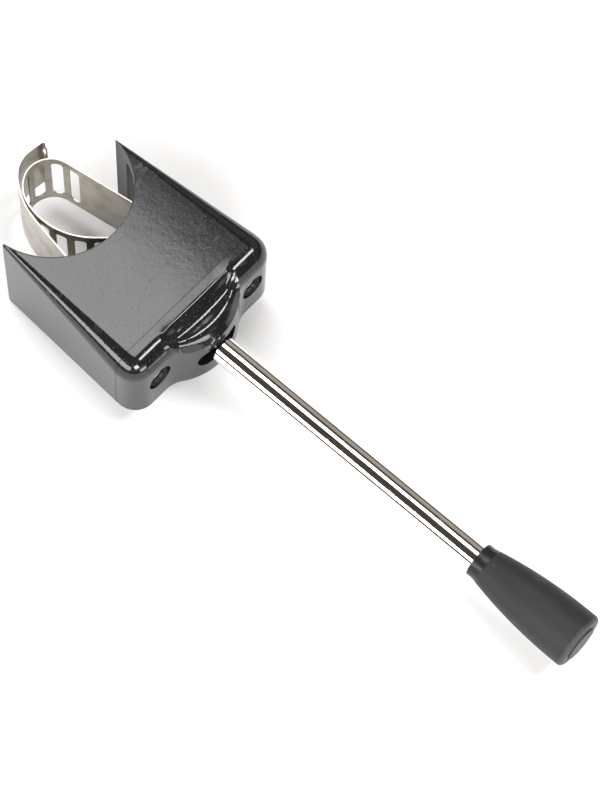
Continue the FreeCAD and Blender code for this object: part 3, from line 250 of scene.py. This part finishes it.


# ---- Clamp screws ---------------------------------------------------------------------------
# Slotted cheese-head screws, turned from steel bar and nickel plated. The heads show the
# turning tool's rings, and painted shade darkens the slots and the head below them in patches.
# They are less metallic than real nickel, so that they still show deep in their recesses.

screw_low, screw_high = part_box("right_clamp_screw")
screw_y = (screw_low.y + screw_high.y) / 2
screw_z = (screw_low.z + screw_high.z) / 2
shade_from_below = screw_high.x - 0.0014
shade_gone_above = screw_high.x - 0.0008
ring_pitch = 0.00018
screw = Finish("turned_nickel", Metallic=0.4)
sides = screw.node("ShaderNodeSeparateXYZ", {}, {"Vector": screw.place})
off_axis = screw.node("ShaderNodeCombineXYZ", {},
                      {"X": abs(sides.out("Y")) - screw_y, "Y": sides.out("Z") - screw_z})
from_axis = screw.node("ShaderNodeVectorMath", {"operation": "LENGTH"}, {0: off_axis}).out("Value")
rings = screw.node("ShaderNodeMath", {"operation": "SINE"},
                   {0: from_axis * (2 * math.pi / ring_pitch)})
# Painted shade: patches darken the screw from 1.4 mm below its top downwards, in the slots and
# below them.
slot_shade = screw.step(screw.noise(size=0.0012, detail=4.0, seed=2.0), 0.50, 0.68) \
    * (1 - screw.step(sides.out("X"), shade_from_below, shade_gone_above))
screw.varies(
    Base_Color=screw.blend(slot_shade, (0.86, 0.83, 0.77, 1), (0.24, 0.20, 0.16, 1)),
    Roughness=0.15 + slot_shade * 0.35 + screw.noise(size=0.002, detail=3.0, seed=5.0) * 0.12)
screw.bumps(rings * 0.25 + screw.noise(size=0.0009, detail=2.0), depth=0.00003)
screw.goes_on("right_clamp_screw", "left_clamp_screw")


# ---- Nuts, frame and its pins ---------------------------------------------------------------
# Pressed and turned steel under bright zinc with a clear blue passivate. It shows a fine
# crystal spangle, and a yellowish tinge where the passivate is thick.

spangle_size = 0.0011
zinc = Finish("zinc_plated_steel", Metallic=1.0)
spangle = zinc.node("ShaderNodeTexVoronoi", {"feature": "F1"},
                    {"Vector": zinc.place, "Scale": 1 / spangle_size}).out("Color")
facets = zinc.node("ShaderNodeSeparateColor", {}, {"Color": spangle}).out("Red")
tinge = zinc.noise(size=0.005, detail=4.0, seed=3.0)
zinc.varies(
    Base_Color=zinc.blend(zinc.step(tinge, 0.35, 0.7), (0.60, 0.63, 0.67, 1),
                          (0.63, 0.58, 0.46, 1)),
    Roughness=0.26 + facets * 0.14 + tinge * 0.08)
zinc.bumps(zinc.noise(size=0.0007, detail=3.0) + facets * 0.3, depth=0.00004)
zinc.goes_on("right_nut", "left_nut", "switch_frame", "pivot_pin", "frame_screws", "board_screws",
             "hub_cross_pin")


# ---- Lever hub ------------------------------------------------------------------------------
# A bare zinc-alloy die casting, grey and slightly grainy, rubbed brighter where it rocks.

alloy = Finish("bare_zinc_casting", Metallic=1.0)
cast_grain = alloy.noise(size=0.0005, detail=4.0)
rubbed = alloy.step(alloy.noise(size=0.004, detail=3.0, seed=2.0), 0.5, 0.66)
alloy.varies(
    Base_Color=alloy.blend(rubbed, (0.33, 0.33, 0.335, 1), (0.56, 0.56, 0.55, 1)),
    Roughness=0.52 + cast_grain * 0.1 - rubbed * 0.2)
alloy.bumps(cast_grain, depth=0.00007)
alloy.goes_on("lever_hub")


# ---- Springs and clip -----------------------------------------------------------------------
# Hardened spring steel: the retaining clip, the detent leaf and the contact's coil spring. It
# keeps the brown and blue of its tempering under a film of oil.

spring = Finish("tempered_spring_steel", Metallic=1.0)
temper = spring.noise(size=0.003, detail=3.0, seed=4.0)
temper_brown = spring.blend(spring.step(temper, 0.3, 0.55), (0.20, 0.19, 0.20, 1),
                            (0.27, 0.21, 0.14, 1))
spring.varies(
    Base_Color=spring.blend(spring.step(temper, 0.52, 0.7), temper_brown, (0.12, 0.15, 0.22, 1)),
    Roughness=0.22 + spring.noise(size=0.0008, detail=3.0) * 0.16)
spring.bumps(spring.noise(size=0.0005, detail=2.0, stretch=(8, 1, 1), seed=6.0), depth=0.00003)
spring.goes_on("pivot_clip", "detent_leaf", "contact_spring")


# ---- Brass pieces ---------------------------------------------------------------------------
# Turned and blanked brass: the knob's moulded-in bush, the detent's rivet, the bridge contact,
# the board's spacers and the fixed contacts. It has tarnished unevenly to a brown gold.

brass = Finish("tarnished_brass", Metallic=1.0)
tarnish = brass.step(brass.noise(size=0.0028, detail=6.0, seed=5.0), 0.42, 0.68)
brass.varies(
    Base_Color=brass.blend(tarnish, (0.78, 0.57, 0.24, 1), (0.36, 0.22, 0.09, 1)),
    Roughness=0.2 + tarnish * 0.22 + brass.noise(size=0.0007, detail=2.0) * 0.08)
brass.bumps(brass.noise(size=0.0006, detail=3.0, seed=1.0) + tarnish * 0.4, depth=0.00003)
brass.goes_on("knob_insert", "detent_rivet", "bridge_contact", "board_spacers", "fixed_contacts")

# The solder tags are the same brass, hot dipped in tin. The dip ran and froze in soft drops.
tinned = Finish("hot_tinned_brass", Metallic=1.0)
runs = tinned.noise(size=0.0016, detail=2.0, stretch=(2.5, 1, 1))
tinned.varies(
    Base_Color=tinned.blend(tinned.step(runs, 0.35, 0.65), (0.70, 0.69, 0.67, 1),
                            (0.55, 0.53, 0.50, 1)),
    Roughness=0.24 + runs * 0.2)
tinned.bumps(runs, depth=0.0002)
tinned.goes_on("solder_tags")


# ---- Slider, board and grommet --------------------------------------------------------------
# The slider is ivory moulded plastic, yellowed a little. The board is brown paper laminate
# whose fibres show on its face. The grommet is soft black rubber with a dusty bloom.

slider = Finish("ivory_moulding", IOR=1.5, Subsurface_Weight=0.05)
yellowing = slider.noise(size=0.004, detail=4.0)
slider.varies(
    Base_Color=slider.blend(yellowing, (0.78, 0.74, 0.62, 1), (0.66, 0.58, 0.40, 1)),
    Roughness=0.34 + slider.noise(size=0.001, detail=3.0, seed=2.0) * 0.14)
slider.bumps(slider.noise(size=0.0009, detail=2.0, seed=3.0), depth=0.00004)
slider.goes_on("contact_slider")

laminate = Finish("paper_laminate", IOR=1.54)
fibres = laminate.noise(size=0.0004, detail=5.0, stretch=(1, 9, 1))
laminate.varies(
    Base_Color=laminate.blend(fibres, (0.16, 0.065, 0.022, 1), (0.36, 0.17, 0.065, 1)),
    Roughness=0.34 + fibres * 0.22)
laminate.bumps(fibres, depth=0.00005)
laminate.goes_on("terminal_board")

rubber = Finish("grommet_rubber", IOR=1.5)
dust = rubber.step(rubber.noise(size=0.0022, detail=6.0), 0.45, 0.72)
rubber.varies(
    Base_Color=rubber.blend(dust, (0.016, 0.016, 0.016, 1), (0.09, 0.086, 0.08, 1)),
    Roughness=0.62 + dust * 0.25)
rubber.bumps(rubber.noise(size=0.0005, detail=3.0, seed=4.0) + dust * 0.5, depth=0.00006)
rubber.goes_on("wire_grommet")


# ---- Studio ---------------------------------------------------------------------------------
# The switch lies on a pale floor. A long box of light overhead and one on the left horn's side
# are what the enamel and the chrome mirror, with small hard ones for the cover's crease, hood
# and end. A dim warm screen stands on the right, and the room is dark between them.

def light_box(name, centre, across, width, height, radiance, tint=(1, 1, 1)):
    """A rectangle of light facing the switch, with its width along across."""
    back = (centre - studio_middle).normalized()
    right = (across - back * across.dot(back)).normalized()
    facing = Matrix((right, back.cross(right), back)).transposed().to_4x4()
    lamp = bpy.data.lights.new(name, "AREA")
    lamp.shape = "RECTANGLE"
    lamp.size = width
    lamp.size_y = height
    lamp.energy = radiance * width * height * math.pi
    lamp.color = tint
    placed = bpy.data.objects.new(name, lamp)
    placed.matrix_world = Matrix.Translation(centre) @ facing
    bpy.context.scene.collection.objects.link(placed)


studio_middle = Vector((0.06, 0, 0))
along_lever = Vector((1, 0, 0))
across_lever = Vector((0, 1, 0))
light_box("overhead_light", Vector((-0.46, 0.20, 1.2)), along_lever,
          width=1.30, height=0.53, radiance=6.2)
light_box("left_light", Vector((-0.10, -1.0, 0.50)), along_lever,
          width=1.3, height=0.42, radiance=9.0)
light_box("crease_light", Vector((0.62, 0.41, 1.05)), across_lever,
          width=0.60, height=0.20, radiance=20.0)
light_box("hood_light", Vector((0.78, -0.50, 0.62)), across_lever,
          width=0.36, height=0.34, radiance=20.0)
light_box("end_light", Vector((1.10, -0.10, 0.24)), across_lever,
          width=0.60, height=0.26, radiance=9.0)
light_box("right_screen", Vector((-0.10, 0.90, 0.55)), along_lever,
          width=1.4, height=0.62, radiance=0.35, tint=(1.0, 0.9, 0.8))

room_brown = (0.075, 0.062, 0.052, 1)
world = bpy.data.worlds.new("dark_studio")
world.use_nodes = True
world.node_tree.nodes["Background"].inputs["Color"].default_value = room_brown
bpy.context.scene.world = world

floor_size = 12.0
bpy.ops.mesh.primitive_plane_add(size=floor_size, location=(0, 0, cad_box[0].z))
floor = bpy.context.object
floor.name = "floor"
paper = Finish("pale_floor", IOR=1.4)
paper.varies(
    Base_Color=paper.blend(paper.noise(size=0.3, detail=3.0), (0.74, 0.74, 0.74, 1),
                           (0.77, 0.77, 0.767, 1)),
    Roughness=0.7 + paper.noise(size=0.05, detail=2.0) * 0.1)
floor.data.materials.append(paper.material)


# ---- Camera ---------------------------------------------------------------------------------
# A long lens about a metre away, looking steeply down on the front face from the knob's side.

camera_place = Vector((0.3600, -0.3217, 0.8744))
lens_length = 130.3
picture_right = Vector((0.7464, 0.6647, 0.0332)).normalized()
view_back = Vector((0.2595, -0.3366, 0.9052)).normalized()
picture_up = view_back.cross(picture_right)
camera = bpy.data.objects.new("camera", bpy.data.cameras.new("camera"))
camera.data.lens = lens_length
camera.matrix_world = Matrix.Translation(camera_place) \
    @ Matrix((picture_right, picture_up, view_back)).transposed().to_4x4()
bpy.context.scene.collection.objects.link(camera)
bpy.context.scene.camera = camera
bpy.context.scene.view_settings.view_transform = "Standard"
